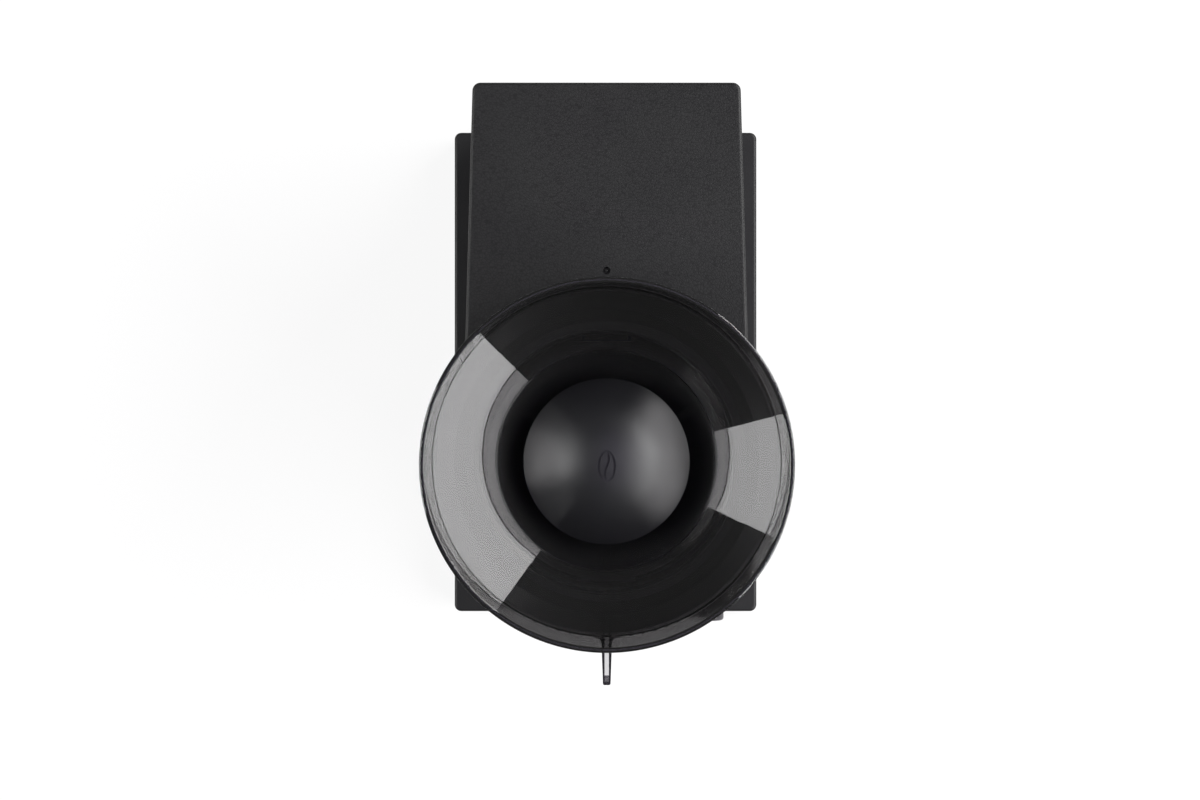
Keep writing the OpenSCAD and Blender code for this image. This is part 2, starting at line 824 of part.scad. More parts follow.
module grind_chamber() {
  color(grey) difference() {
    at_axis() rotate_extrude() polygon([
      [9, gear_lid + 2], [31, gear_lid + 2], [31, 157], [43.4, 160], [43.4, 190.6],
      [40.35, 190.6], [40.35, 179.8], [37.5, 179.8], [37.5, 163], [32.4, 163],
      [32.4, 159.5], [28, 159.5], [28, chamber_floor], [9, chamber_floor]
    ]);
    // slots that keep the carrier from turning
    at_axis() for (a = lug_angles) rotate([0, 0, a]) translate([flange_r - 1, -3.3, 175.9])
      cube([3.2, 6.6, 5]);
    // way out to the chute
    translate([-9, chute_back - 1, chamber_floor]) cube([18, 12, window_top - chamber_floor]);
    // window for the detent spring's nose
    at_axis() translate([-2.5, 39.5, 181.5]) cube([5, 5, 7]);
    at_axis() for (a = chamber_screw_angles) rotate([0, 0, a])
      translate([chamber_screw_r, 0, gear_lid + 1]) cylinder(r = 1.6, h = 5);
  }
  color(grey) difference() {
    translate([-chute_x, chute_back, gear_lid + 2]) cube([2 * chute_x, 4, chute_top - gear_lid - 2]);
    translate([-9, chute_back - 1, chamber_floor]) cube([18, 12, window_top - chamber_floor]);
    at_axis() translate([0, 0, gear_lid]) cylinder(r = 30.5, h = 20);
  }
}

module chamber_screws() {
  color(zinc) at_axis() for (a = chamber_screw_angles) rotate([0, 0, a])
    translate([chamber_screw_r, 0, gear_lid + 0.1]) cylinder(r = 1.5, h = 4.6);
}

module grind_chute() {
  wall = 2;
  inner_x = chute_x - wall;
  color(satin_black) difference() {
    translate([-chute_x, chute_front, chute_mouth])
      cube([2 * chute_x, chute_back - chute_front, chute_top - chute_mouth]);
    translate([-inner_x, chute_front + wall, chute_mouth - 1])
      cube([2 * inner_x, chute_back - chute_front - 2 * wall, window_top - chute_mouth + 1]);
    translate([-inner_x, chute_back - wall - 1, chamber_floor])
      cube([2 * inner_x, wall + 2, window_top - chamber_floor]);
  }
}

// ---------- grind setting ----------

module adjust_ring() {
  color(nylon) at_axis() difference() {
    ring(ring_r, throat_out + 0.4, ring_bottom, ring_top);
    for (a = lug_angles) rotate([0, 0, a]) translate([throat_out - 1, -3.3, 180.9])
      cube([3.6, 6.6, 20]);
    for (a = [-dial_half : dial_step : dial_half])
      rotate([0, 0, 90 + a]) translate([ring_r + 0.35, 0, ring_bottom - 1]) cylinder(r = 0.8, h = 20);
  }
}

module detent_spring() {
  color(steel) at_axis() rotate([0, 0, 90]) {
    translate([40.5, -1, 182.5]) cube([3.2, 2, 5]);
    translate([43.5, -9, 182]) cube([0.5, 18, 6]);
    translate([43.9, -9, 182]) cube([2.4, 1.2, 6]);
    translate([43.9, 7.8, 182]) cube([2.4, 1.2, 6]);
  }
}

// ---------- load bin ----------

function floor_z(r) = bin_floor - (bin_r - bin_wall - r) * floor_slope;
function cone_under(r) = floor_z(r) - floor_thick;

module load_bin() {
  inner = bin_r - bin_wall;
  lip_mid = inner + bin_wall / 2;
  crown = 1.6;
  crown_half = asin(bin_wall / 2 / crown);
  bend = 0.6;
  rib_h = 0.8;
  slope_angle = atan(floor_slope);
  // centre of the fillet where the floor turns up into the wall
  bend_r = inner - bend;
  bend_z = floor_z(bend_r) + bend / cos(slope_angle);
  color(smoke) at_axis() {
    rotate_extrude() {
      polygon(concat(
        [[throat_r, throat_bottom], [throat_out, throat_bottom], [throat_out, cone_under(throat_out)],
         [inner, cone_under(inner)], [inner, skirt_bottom], [bin_r, skirt_bottom]],
        [for (i = [3 : -1 : -3]) let (a = i * crown_half / 3)
           [lip_mid + crown * sin(a), bin_top - crown + crown * cos(a)]],
        [for (i = [0 : 4]) let (a = -i * (90 - slope_angle) / 4)
           [bend_r + bend * cos(a), bend_z + bend * sin(a)]],
        [[throat_r, floor_z(throat_r)]]
      ));
    }
    pointer_tab();
    // bayonet lugs on the throat
    for (a = lug_angles) rotate([0, 0, a]) translate([throat_out - 0.6, -2.8, 181])
      cube([2.7, 5.6, 3]);
    // two shallow ribs carry the tab on under the floor
    for (x = [-1, 1]) intersection() {
      translate([x * 1.3 - 0.55, -inner - 0.2, skirt_bottom]) cube([1.1, 8, 8]);
      rotate_extrude() polygon([
        [52, cone_under(52) - rib_h], [inner + 0.4, cone_under(inner + 0.4) - rib_h],
        [inner + 0.4, cone_under(inner) + 1], [52, cone_under(52) + 1]
      ]);
    }
  }
}

// the tab is a thin channel: two side walls, a thin top and a rounded pointer foot
module pointer_tab() {
  root = bin_r - 0.9;
  root_w = 3.7;
  tip_w = 2.7;
  slot_w = 1.5;
  tab_top = 222;
  web = 1;
  foot_from = 65.6;
  foot_bottom = 198.5;
  flare = 2.6;
  rotate([0, 0, -90]) difference() {
    union() {
      translate([0, 0, skirt_bottom + 0.5]) linear_extrude(tab_top - skirt_bottom - 0.5)
        polygon([
          [root, -root_w / 2], [tab_reach - 0.5, -tip_w / 2], [tab_reach, -tip_w / 2 + 0.5],
          [tab_reach, tip_w / 2 - 0.5], [tab_reach - 0.5, tip_w / 2], [root, root_w / 2]
        ]);
      translate([0, 0, foot_bottom]) linear_extrude(skirt_bottom + 0.6 - foot_bottom)
        polygon([
          [foot_from, -root_w / 2 + 0.2], [tab_reach - 0.5, -tip_w / 2], [tab_reach, -tip_w / 2 + 0.5],
          [tab_reach, tip_w / 2 - 0.5], [tab_reach - 0.5, tip_w / 2], [foot_from, root_w / 2 - 0.2]
        ]);
      // flared root
      for (y = [-1, 1]) translate([0, 0, skirt_bottom + 0.5]) linear_extrude(8) mirror([0, y < 0 ? 1 : 0])
        difference() {
          translate([root, root_w / 2 - 0.7]) square([flare + 0.6, flare + 0.6]);
          translate([bin_r + flare + 0.1, root_w / 2 + flare - 0.1]) circle(flare);
          translate([bin_r + flare + 0.1, root_w / 2 - 1]) square([2, 5]);
        }
    }
    translate([bin_r + 0.2, -slot_w / 2, foot_bottom - 1])
      cube([tab_reach - bin_r - 1, slot_w, tab_top - web - foot_bottom + 1]);
  }
}

module bean_dome() {
  // a leg ends just under the dome's outer face
  leg_h = dome_centre + sqrt(pow(dome_sphere, 2) - pow(dome_ring_r, 2)) - 0.1 - dome_ring_z;
  mark_depth = 0.75;
  color(satin_black) at_axis() difference() {
    union() {
      rotate_extrude() difference() {
        intersection() {
          union() {
            difference() {
              translate([0, dome_centre]) circle(dome_sphere);
              translate([-50, dome_edge - 100]) square(100);
            }
            translate([0, dome_edge - 1.5]) square([dome_r, 1.5 + eps]);
          }
          square([60, 300]);
        }
        difference() {
          translate([0, dome_centre]) circle(dome_sphere - dome_wall);
          translate([-50, dome_edge - 100]) square(100);
        }
        translate([-1, dome_edge - 2]) square([dome_r - dome_wall + 1, 2.1]);
      }
      ring(dome_ring_r, dome_ring_r - 2.7, dome_ring_z, dome_ring_z + 4);
      for (a = dome_leg_angles) rotate([0, 0, a]) translate([dome_ring_r - 3.7, -1, dome_ring_z])
        cube([3.7, 2, leg_h]);
    }
    // a generic bean mark, sunk into the top
    translate([0, -1.5, dome_centre + dome_sphere - mark_depth]) linear_extrude(2) difference() {
      intersection() {
        translate([-3.2, 0]) circle(6.4);
        translate([3.2, 0]) circle(6.4);
      }
      translate([0, 2.2]) difference() {
        circle(2.9);
        circle(2.1);
        translate([-4, -4]) square([4, 8]);
      }
      translate([0, -2.2]) difference() {
        circle(2.9);
        circle(2.1);
        translate([0, -4]) square([4, 8]);
      }
    }
  }
}

// ---------- catch cup ----------

module catch_cup() {
  h = cup_top - cup_bottom;
  lip = cup_wall / 2;
  foot_edge = 1.2;
  color(satin_black) translate([0, cup_y, cup_bottom]) difference() {
    rotate_extrude() {
      difference() {
        square([cup_r, h - lip]);
        translate([-1, cup_floor]) square([cup_r - cup_wall + 1, h]);
        translate([cup_r, 0]) rotate(-90) edge_waste(foot_edge);
      }
      translate([cup_r - lip, h - lip]) circle(lip);
    }
    // recess for the steel disc
    translate([0, 0, -1]) cylinder(r = disc_r + 0.2, h = disc_h + 1);
  }
}

module cup_disc() {
  color(steel) translate([0, cup_y, cup_bottom]) cylinder(r = disc_r, h = disc_h - 0.05);
}

base_cover();
base_tray();
rubber_feet();
tray_screws();
power_button();
button_spring();
button_switch();
button_bracket();
control_board();
cord_gland();
mains_lead();
locating_magnet();
body_shell();
front_panel();
head_floor();
panel_screws();
dial_ring();
power_board();
board_parts();
motor_can();
motor_end_cap();
motor_magnets();
motor_bearings();
motor_brushes();
motor_screws();
motor_leads();
motor_rotor();
cooling_fan();
motor_pinion();
gearbox_housing();
gearbox_lid();
gearbox_screws();
idler_pin();
idler_gear();
main_gear();
drive_shaft();
shaft_bearings();
shaft_seal();
sweeper();
cone_burr();
burr_nut();
grind_chamber();
chamber_screws();
grind_chute();
outer_burr();
burr_carrier();
carrier_spring();
adjust_ring();
detent_spring();
load_bin();
bean_dome();
catch_cup();
cup_disc();
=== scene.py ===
import json
import math

import bmesh
import bpy
from mathutils import Matrix, Vector


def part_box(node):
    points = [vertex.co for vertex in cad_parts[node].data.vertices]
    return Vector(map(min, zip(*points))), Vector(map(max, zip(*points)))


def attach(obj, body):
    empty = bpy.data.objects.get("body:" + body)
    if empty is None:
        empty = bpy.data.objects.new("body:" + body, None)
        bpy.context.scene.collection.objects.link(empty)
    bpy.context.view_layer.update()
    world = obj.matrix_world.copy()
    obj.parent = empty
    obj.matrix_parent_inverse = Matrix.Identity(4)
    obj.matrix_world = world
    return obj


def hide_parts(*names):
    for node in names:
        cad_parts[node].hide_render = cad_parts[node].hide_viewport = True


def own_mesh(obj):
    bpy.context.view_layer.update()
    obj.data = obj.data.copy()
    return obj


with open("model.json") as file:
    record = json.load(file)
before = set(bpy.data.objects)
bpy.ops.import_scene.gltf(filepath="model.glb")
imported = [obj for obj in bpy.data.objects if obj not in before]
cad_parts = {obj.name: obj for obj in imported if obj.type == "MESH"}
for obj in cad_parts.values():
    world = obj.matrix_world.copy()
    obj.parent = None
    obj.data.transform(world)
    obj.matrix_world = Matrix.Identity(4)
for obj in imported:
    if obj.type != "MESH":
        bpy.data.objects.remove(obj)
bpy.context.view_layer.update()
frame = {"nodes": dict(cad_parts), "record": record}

MM = 0.001
ROUND_STEPS = 192
# faces that meet at more than this many degrees keep a sharp edge
SHARP_ANGLE = 32
# below any real length
TINY = 1e-7
# how far a cutting tool reaches beyond the surface that it cuts
PAST = 5 * MM
ORIGIN = Vector((0, 0, 0))
UP = Vector((0, 0, 1))
nodes = frame["nodes"]

# ---------- places and sizes, read from the frame ----------

shell_lo, shell_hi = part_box("body_shell")
base_lo, base_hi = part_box("base_cover")
bin_lo, bin_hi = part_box("load_bin")
dome_lo, dome_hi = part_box("bean_dome")
cup_lo, cup_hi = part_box("catch_cup")
button_lo, button_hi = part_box("power_button")
gland_lo, gland_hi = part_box("cord_gland")
ring_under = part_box("dial_ring")[0].z
panel_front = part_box("front_panel")[0].y
head_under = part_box("head_floor")[0].z

axis_y = (dome_lo.y + dome_hi.y) / 2
AXIS = Vector((0, axis_y, 0))
head_r = axis_y - shell_lo.y
button_x, button_z = (button_lo.x + button_hi.x) / 2, (button_lo.z + button_hi.z) / 2
gland_x, gland_z = (gland_lo.x + gland_hi.x) / 2, (gland_lo.z + gland_hi.z) / 2

# ---------- sizes shared by more than one piece ----------

# the tower's sides lean inwards towards the back, in degrees
SIDE_DRAFT = 1.59
BACK_CORNER = 2.9 * MM

# the bin's wall and its cone, which the dial's collar follows
BIN_R, BIN_WALL, BIN_SKIRT = 63.2 * MM, 1.8 * MM, 205.5 * MM
BIN_IN = BIN_R - BIN_WALL
FLOOR_Z, FLOOR_SLOPE, FLOOR_THICK = 214 * MM, 0.6494, 2.4 * MM
THROAT_OUT = 27.9 * MM

# the dial's side and its scale: the first dot's angle and the step between dots, in degrees
DIAL_R, DIAL_TOP = 63.6 * MM, 205 * MM
SCALE_START, DOT_STEP, DOTS_A_NUMBER, NUMBERS = -170, 4, 4, 11


def floor_z(r):
    return FLOOR_Z - (BIN_IN - r) * FLOOR_SLOPE


def cone_under(r):
    return floor_z(r) - FLOOR_THICK


# ---------- outlines and profiles ----------

def arc(cx, cy, r, start, end, steps):
    """Points on a circle from one angle to another, in degrees, both ends included."""
    angles = [math.radians(start + (end - start) * i / steps) for i in range(steps + 1)]
    return [(cx + r * math.cos(a), cy + r * math.sin(a)) for a in angles]


def turned(v, angle):
    """A 2-D vector turned counter-clockwise by an angle in radians."""
    c, s = math.cos(angle), math.sin(angle)
    return Vector((v.x * c - v.y * s, v.x * s + v.y * c))


def outward(angle):
    """The level direction at an angle in radians."""
    return Vector((math.cos(angle), math.sin(angle), 0))


def soften(corners, steps=5, hold=0.35):
    """A closed profile of (x, y, radius) corners, rounded, with a point held just past each arc's ends."""
    out = []
    count = len(corners)
    for i, (x, y, r) in enumerate(corners):
        if r <= 0:
            out.append((x, y))
            continue
        here = Vector((x, y))
        before = Vector(corners[i - 1][:2]) - here
        after = Vector(corners[(i + 1) % count][:2]) - here
        half = before.angle(after) / 2
        reach = r / math.tan(half)
        start, end = here + before.normalized() * reach, here + after.normalized() * reach
        centre = here + (before.normalized() + after.normalized()).normalized() * (r / math.sin(half))
        if reach * (1 + hold) < before.length * 0.5:
            out.append(tuple(here + before.normalized() * reach * (1 + hold)))
        first, last = start - centre, end - centre
        sweep = first.angle_signed(last)
        for k in range(steps + 1):
            out.append(tuple(centre + turned(first, -sweep * k / steps)))
        if reach * (1 + hold) < after.length * 0.5:
            out.append(tuple(here + after.normalized() * reach * (1 + hold)))
    return out


def rectangle_outline(cx, cy, w, d, r, inset=0.0, steps=8):
    """A rectangle with round corners, counter-clockwise, moved inwards by inset."""
    least = 0.2 * MM
    r_in = max(r - inset, least)
    x, y = w / 2 - inset - r_in, d / 2 - inset - r_in
    out = []
    for sx, sy, start in ((1, 1, 0), (-1, 1, 90), (-1, -1, 180), (1, -1, 270)):
        out += arc(cx + sx * x, cy + sy * y, r_in, start, start + 90, steps)
    return out


def tower_outline(inset=0.0, front_steps=120, corner_steps=8):
    """The tower's plan: drafted sides, a round front and two round back corners, counter-clockwise."""
    draft, least = math.radians(SIDE_DRAFT), 0.5 * MM
    r = head_r - inset
    back = shell_hi.y - inset
    corner = max(BACK_CORNER - inset, least)
    cy = back - corner
    cx = (r - corner - (cy - axis_y) * math.sin(draft)) / math.cos(draft)
    out = arc(cx, cy, corner, SIDE_DRAFT, 90, corner_steps)
    out += arc(-cx, cy, corner, 90, 180 - SIDE_DRAFT, corner_steps)
    out += arc(0, axis_y, r, 180 - SIDE_DRAFT, 360 + SIDE_DRAFT, front_steps)
    return out


# ---------- meshes ----------

def loft(loops, cap_first=True):
    """A skin through closed loops with the same number of 3-D points. The first may be left open."""
    bm = bmesh.new()
    rows = [[bm.verts.new(p) for p in loop] for loop in loops]
    for a, b in zip(rows, rows[1:]):
        for i in range(len(a)):
            j = (i + 1) % len(a)
            bm.faces.new((a[i], a[j], b[j], b[i]))
    if cap_first:
        bm.faces.new(list(reversed(rows[0])))
    bm.faces.new(rows[-1])
    bmesh.ops.recalc_face_normals(bm, faces=bm.faces)
    return bm


def lathe(profile, centre=AXIS, steps=ROUND_STEPS):
    """A closed profile of (radius, height) turned about the vertical line through centre."""
    bm = bmesh.new()
    angles = [2 * math.pi * k / steps for k in range(steps)]
    rows = []
    for r, z in profile:
        ring = [(centre.x + r * math.cos(a), centre.y + r * math.sin(a), z) for a in angles]
        if r < TINY:
            ring = [(centre.x, centre.y, z)]
        rows.append([bm.verts.new(p) for p in ring])
    for a, b in zip(rows, rows[1:] + rows[:1]):
        if len(a) == 1 and len(b) == 1:
            continue
        for i in range(steps):
            j = (i + 1) % steps
            corners = [a[i % len(a)], a[j % len(a)], b[j % len(b)], b[i % len(b)]]
            bm.faces.new(list(dict.fromkeys(corners)))
    bmesh.ops.recalc_face_normals(bm, faces=bm.faces)
    return bm


def prism(outline, z0, z1):
    """An upright block over an outline of (x, y) points."""
    return loft([[(x, y, z0) for x, y in outline], [(x, y, z1) for x, y in outline]])


def slab(outline_at, z0, z1, edge, bottom_edge=0.0, steps=4):
    """A block with a round top edge. outline_at(inset) gives its outline moved inwards."""
    loops = []
    if bottom_edge:
        for k in range(steps + 1):
            t = math.pi / 2 * k / steps
            loops.append((bottom_edge * (1 - math.sin(t)), z0 + bottom_edge * (1 - math.cos(t))))
    else:
        loops.append((0.0, z0))
    loops.append((0.0, z1 - edge * 1.4))
    for k in range(steps + 1):
        t = math.pi / 2 * k / steps
        loops.append((edge * (1 - math.cos(t)), z1 - edge * (1 - math.sin(t))))
    loops.append((edge * 1.5, z1))
    return loft([[(x, y, z) for x, y in outline_at(inset)] for inset, z in loops])


def box_mesh(lo, hi):
    """A box from its low corner to its high corner."""
    (x0, y0, z0), (x1, y1, z1) = lo, hi
    return prism([(x0, y0), (x1, y0), (x1, y1), (x0, y1)], z0, z1)


def cylinder(centre, r, length, backwards=False, steps=64):
    """A cylinder that runs from centre upwards, or towards the back."""
    bm = prism(arc(0, 0, r, 0, 360 - 360 / steps, steps - 1), 0, length)
    if backwards:
        bmesh.ops.rotate(bm, verts=bm.verts, matrix=Matrix.Rotation(math.radians(-90), 3, "X"))
    bmesh.ops.translate(bm, verts=bm.verts, vec=centre)
    return bm


def moved(bm, matrix):
    bmesh.ops.transform(bm, matrix=matrix, verts=bm.verts)
    return bm


def about_axis(bm, angle):
    """A mesh made beside the origin, turned by degrees and moved to stand round the grinder's axis."""
    return moved(bm, Matrix.Translation(AXIS) @ Matrix.Rotation(math.radians(angle), 4, "Z"))


def joined(*parts):
    """Several bmeshes in one."""
    out = bmesh.new()
    for part in parts:
        mesh = bpy.data.meshes.new("part")
        part.to_mesh(mesh)
        part.free()
        out.from_mesh(mesh)
        bpy.data.meshes.remove(mesh)
    return out


def placed(name, data):
    """A new object in the scene."""
    obj = bpy.data.objects.new(name, data)
    bpy.context.scene.collection.objects.link(obj)
    return obj


def object_of(bm, name):
    mesh = bpy.data.meshes.new(name)
    bm.to_mesh(mesh)
    bm.free()
    return placed(name, mesh)


def apply_modifiers(obj):
    depsgraph = bpy.context.evaluated_depsgraph_get()
    mesh = bpy.data.meshes.new_from_object(obj.evaluated_get(depsgraph))
    obj.modifiers.clear()
    old = obj.data
    obj.data = mesh
    mesh.name = obj.name
    bpy.data.meshes.remove(old)


def combine(obj, bm, operation):
    """Cuts bm away from obj, or joins it on."""
    tool = object_of(bm, "tool")
    step = obj.modifiers.new("combine", "BOOLEAN")
    step.operation = operation
    step.solver = "EXACT"
    step.object = tool
    apply_modifiers(obj)
    bpy.data.objects.remove(tool)


def cut(obj, bm):
    combine(obj, bm, "DIFFERENCE")


def add(obj, bm):
    combine(obj, bm, "UNION")


def shade(obj):
    """Smooth faces with sharp edges between them."""
    bm = bmesh.new()
    bm.from_mesh(obj.data)
    bmesh.ops.remove_doubles(bm, verts=bm.verts, dist=TINY)
    for face in bm.faces:
        face.smooth = True
    for edge in bm.edges:
        edge.smooth = len(edge.link_faces) == 2 and edge.calc_face_angle(math.pi) < math.radians(SHARP_ANGLE)
    bm.to_mesh(obj.data)
    bm.free()


def finish_piece(obj, material, body, replaces):
    shade(obj)
    obj.data.materials.clear()
    obj.data.materials.append(material)
    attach(obj, body)
    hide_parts(*replaces)


# ---------- materials ----------

class Nodes:
    """A short way to write a material's node tree."""

    def __init__(self, name):
        self.material = bpy.data.materials.new(name)
        self.material.use_nodes = True
        self.tree = self.material.node_tree
        self.tree.nodes.clear()
        self.out = self.node("ShaderNodeOutputMaterial")
        self.shader = self.node("ShaderNodeBsdfPrincipled")
        self.link(self.shader.outputs[0], self.out.inputs["Surface"])
        coordinates = self.node("ShaderNodeTexCoord")
        self.place = coordinates.outputs["Object"]

    def node(self, kind, **settings):
        made = self.tree.nodes.new(kind)
        for key, value in settings.items():
            setattr(made, key, value)
        return made

    def link(self, a, b):
        self.tree.links.new(a, b)

    def put(self, **values):
        for key, value in values.items():
            self.shader.inputs[key.replace("_", " ")].default_value = value

    def stretched(self, scale):
        """Coordinates scaled per axis, so that a pattern is long where scale is small."""
        mapping = self.node("ShaderNodeMapping")
        mapping.inputs["Scale"].default_value = scale
        self.link(self.place, mapping.inputs["Vector"])
        return mapping.outputs[0]

    def noise(self, cell, detail=3.0, rough=0.55, vector=None):
        """Noise whose features are about cell metres wide."""
        made = self.node("ShaderNodeTexNoise")
        made.inputs["Scale"].default_value = 1 / cell
        made.inputs["Detail"].default_value = detail
        made.inputs["Roughness"].default_value = rough
        self.link(vector or self.place, made.inputs["Vector"])
        return made.outputs["Fac"]

    def cells(self, cell, feature="SMOOTH_F1", vector=None):
        made = self.node("ShaderNodeTexVoronoi", feature=feature)
        made.inputs["Scale"].default_value = 1 / cell
        self.link(vector or self.place, made.inputs["Vector"])
        return made.outputs["Distance"]

    def range(self, value, low, high, from_low=0.0, from_high=1.0):
        made = self.node("ShaderNodeMapRange")
        made.inputs["From Min"].default_value = from_low
        made.inputs["From Max"].default_value = from_high
        made.inputs["To Min"].default_value = low
        made.inputs["To Max"].default_value = high
        self.link(value, made.inputs["Value"])
        return made.outputs["Result"]

    def mix(self, factor, first, second):
        made = self.node("ShaderNodeMix", data_type="RGBA")
        self.link(factor, made.inputs[0])
        made.inputs[6].default_value = (*first, 1)
        made.inputs[7].default_value = (*second, 1)
        return made.outputs[2]

    def math(self, operation, a, b):
        made = self.node("ShaderNodeMath", operation=operation)
        for i, value in enumerate((a, b)):
            if isinstance(value, (int, float)):
                made.inputs[i].default_value = value
            else:
                self.link(value, made.inputs[i])
        return made.outputs[0]

    def bump(self, height, strength, distance, normal=None):
        made = self.node("ShaderNodeBump")
        made.inputs["Strength"].default_value = strength
        made.inputs["Distance"].default_value = distance
        self.link(height, made.inputs["Height"])
        if normal:
            self.link(normal, made.inputs["Normal"])
        return made.outputs[0]


def moulded(name, dark, light, rough, cell, strength, ior=1.5):
    """Satin moulded plastic: a fine spark-eroded texture, and faint smudges in the gloss."""
    smudge = 0.05
    n = Nodes(name)
    grain = n.noise(cell, detail=2)
    cloud = n.noise(22 * MM, detail=4)
    n.link(n.mix(n.range(grain, 0, 1, 0.35, 0.65), dark, light), n.shader.inputs["Base Color"])
    n.put(IOR=ior)
    n.link(n.range(cloud, rough - smudge, rough + smudge, 0.3, 0.7), n.shader.inputs["Roughness"])
    n.link(n.bump(grain, strength, 0.02 * MM), n.shader.inputs["Normal"])
    return n.material


def leather_grain(name, dark, light, rough):
    """Black plastic moulded with a leather grain: pebbled cells with creases between them, with painted shade
    in the creases.
    """
    n = Nodes(name)
    warp = n.noise(2.4 * MM, detail=2)
    spread = n.node("ShaderNodeVectorMath", operation="ADD")
    n.link(n.place, spread.inputs[0])
    shift = n.node("ShaderNodeCombineXYZ")
    for axis, way in enumerate((1, -1, 1)):
        n.link(n.math("MULTIPLY", warp, 0.9 * MM * way), shift.inputs[axis])
    n.link(shift.outputs[0], spread.inputs[1])
    pebble = n.cells(0.7 * MM, vector=spread.outputs[0])
    crease = n.cells(1.05 * MM, feature="DISTANCE_TO_EDGE", vector=spread.outputs[0])
    fine = n.noise(0.22 * MM, detail=2)
    creased = n.range(crease, 0, 1, 0.0, 0.16)
    # the base colour is darker in the creases, which is painted shade; the fine noise adds a random speckle
    # of tone
    crease_shade_and_speckle = n.math("MULTIPLY", creased, n.range(fine, 0.75, 1.0, 0.3, 0.7))
    n.link(n.mix(crease_shade_and_speckle, dark, light), n.shader.inputs["Base Color"])
    n.put(Specular_IOR_Level=0.3)
    cloud = n.noise(30 * MM, detail=3)
    n.link(n.range(cloud, rough - 0.04, rough + 0.04, 0.3, 0.7), n.shader.inputs["Roughness"])
    first = n.bump(creased, 0.5, 0.05 * MM)
    second = n.bump(pebble, 0.35, 0.06 * MM, first)
    n.link(n.bump(fine, 0.2, 0.02 * MM, second), n.shader.inputs["Normal"])
    return n.material


def smoked_clear(name):
    """Polished smoked plastic, tinted by its thickness, with a few fine rub marks in the gloss."""
    n = Nodes(name)
    n.put(Transmission_Weight=0.992, IOR=1.49)
    n.shader.inputs["Base Color"].default_value = (1, 1, 1, 1)
    rub = n.noise(0.5 * MM, detail=3, vector=n.stretched((1, 1, 0.06)))
    n.link(n.range(rub, 0.012, 0.05, 0.55, 0.8), n.shader.inputs["Roughness"])
    wave = n.noise(9 * MM, detail=1)
    n.link(n.bump(wave, 0.12, 0.05 * MM), n.shader.inputs["Normal"])
    tint = n.node("ShaderNodeVolumeAbsorption")
    tint.inputs["Color"].default_value = (0.30, 0.28, 0.295, 1)
    tint.inputs["Density"].default_value = 560
    n.link(tint.outputs[0], n.out.inputs["Volume"])
    return n.material


def brushed(name, colour, rough, spread=(1, 1, 40)):
    """Worked metal: fine tool lines and patchy gloss."""
    n = Nodes(name)
    lines = n.noise(0.35 * MM, detail=3, vector=n.stretched(spread))
    cloud = n.noise(6 * MM, detail=3)
    shade_of = tuple(c * 0.82 for c in colour)
    n.link(n.mix(n.range(lines, 0, 1, 0.3, 0.7), shade_of, colour), n.shader.inputs["Base Color"])
    n.put(Metallic=1.0)
    n.link(n.range(cloud, rough - 0.07, rough + 0.07, 0.3, 0.7), n.shader.inputs["Roughness"])
    n.link(n.bump(lines, 0.2, 0.01 * MM), n.shader.inputs["Normal"])
    return n.material


def rubbery(name, dark, light):
    """Dull rubber or lead insulation with a fine uneven skin."""
    n = Nodes(name)
    grain = n.noise(0.4 * MM, detail=4, rough=0.7)
    n.link(n.mix(grain, dark, light), n.shader.inputs["Base Color"])
    n.link(n.range(grain, 0.7, 0.9), n.shader.inputs["Roughness"])
    n.link(n.bump(grain, 0.4, 0.04 * MM), n.shader.inputs["Normal"])
    return n.material


def circuit_board(name):
    """Green solder mask with copper tracks showing under it as lighter lines."""
    n = Nodes(name)
    tracks = n.node("ShaderNodeTexBrick", offset=0.35, squash=0.7, squash_frequency=3)
    tracks.inputs["Scale"].default_value = 90
    tracks.inputs["Mortar Size"].default_value = 0.06
    tracks.inputs["Color1"].default_value = (0.012, 0.10, 0.05, 1)
    tracks.inputs["Color2"].default_value = (0.015, 0.12, 0.06, 1)
    tracks.inputs["Mortar"].default_value = (0.05, 0.24, 0.12, 1)
    n.link(n.stretched((1, 0.02, 1.4)), tracks.inputs["Vector"])
    n.link(tracks.outputs["Color"], n.shader.inputs["Base Color"])
    n.link(n.range(n.noise(3 * MM), 0.25, 0.4), n.shader.inputs["Roughness"])
    n.link(n.bump(tracks.outputs["Fac"], 0.3, 0.03 * MM), n.shader.inputs["Normal"])
    return n.material


body_black = leather_grain("body_black", (0.0028, 0.0028, 0.0029), (0.0105, 0.0105, 0.0108), 0.46)
base_black = moulded("base_black", (0.005, 0.005, 0.0055), (0.009, 0.009, 0.0095),
                     rough=0.45, cell=0.3 * MM, strength=0.35, ior=1.42)
satin_black = moulded("satin_black", (0.004, 0.004, 0.0055), (0.006, 0.006, 0.008),
                      rough=0.35, cell=0.16 * MM, strength=0.15, ior=1.62)
dial_black = moulded("dial_black", (0.005, 0.005, 0.006), (0.009, 0.009, 0.010),
                     rough=0.42, cell=0.2 * MM, strength=0.25)
dial_white = moulded("dial_white", (0.62, 0.62, 0.61), (0.72, 0.72, 0.71),
                     rough=0.5, cell=0.15 * MM, strength=0.1)
button_grey = moulded("button_grey", (0.036, 0.034, 0.039), (0.050, 0.047, 0.053),
                      rough=0.38, cell=0.14 * MM, strength=0.2)
nylon = moulded("nylon", (0.62, 0.60, 0.53), (0.72, 0.70, 0.63),
                rough=0.48, cell=0.3 * MM, strength=0.2)
grey_nylon = moulded("grey_nylon", (0.025, 0.025, 0.026), (0.04, 0.04, 0.042),
                     rough=0.55, cell=0.4 * MM, strength=0.4)
smoked = smoked_clear("smoked_clear")
rubber_black = rubbery("rubber_black", (0.010, 0.010, 0.010), (0.022, 0.022, 0.022))
lead_red = rubbery("lead_red", (0.30, 0.012, 0.012), (0.42, 0.02, 0.02))
steel = brushed("steel", (0.60, 0.61, 0.63), 0.30)
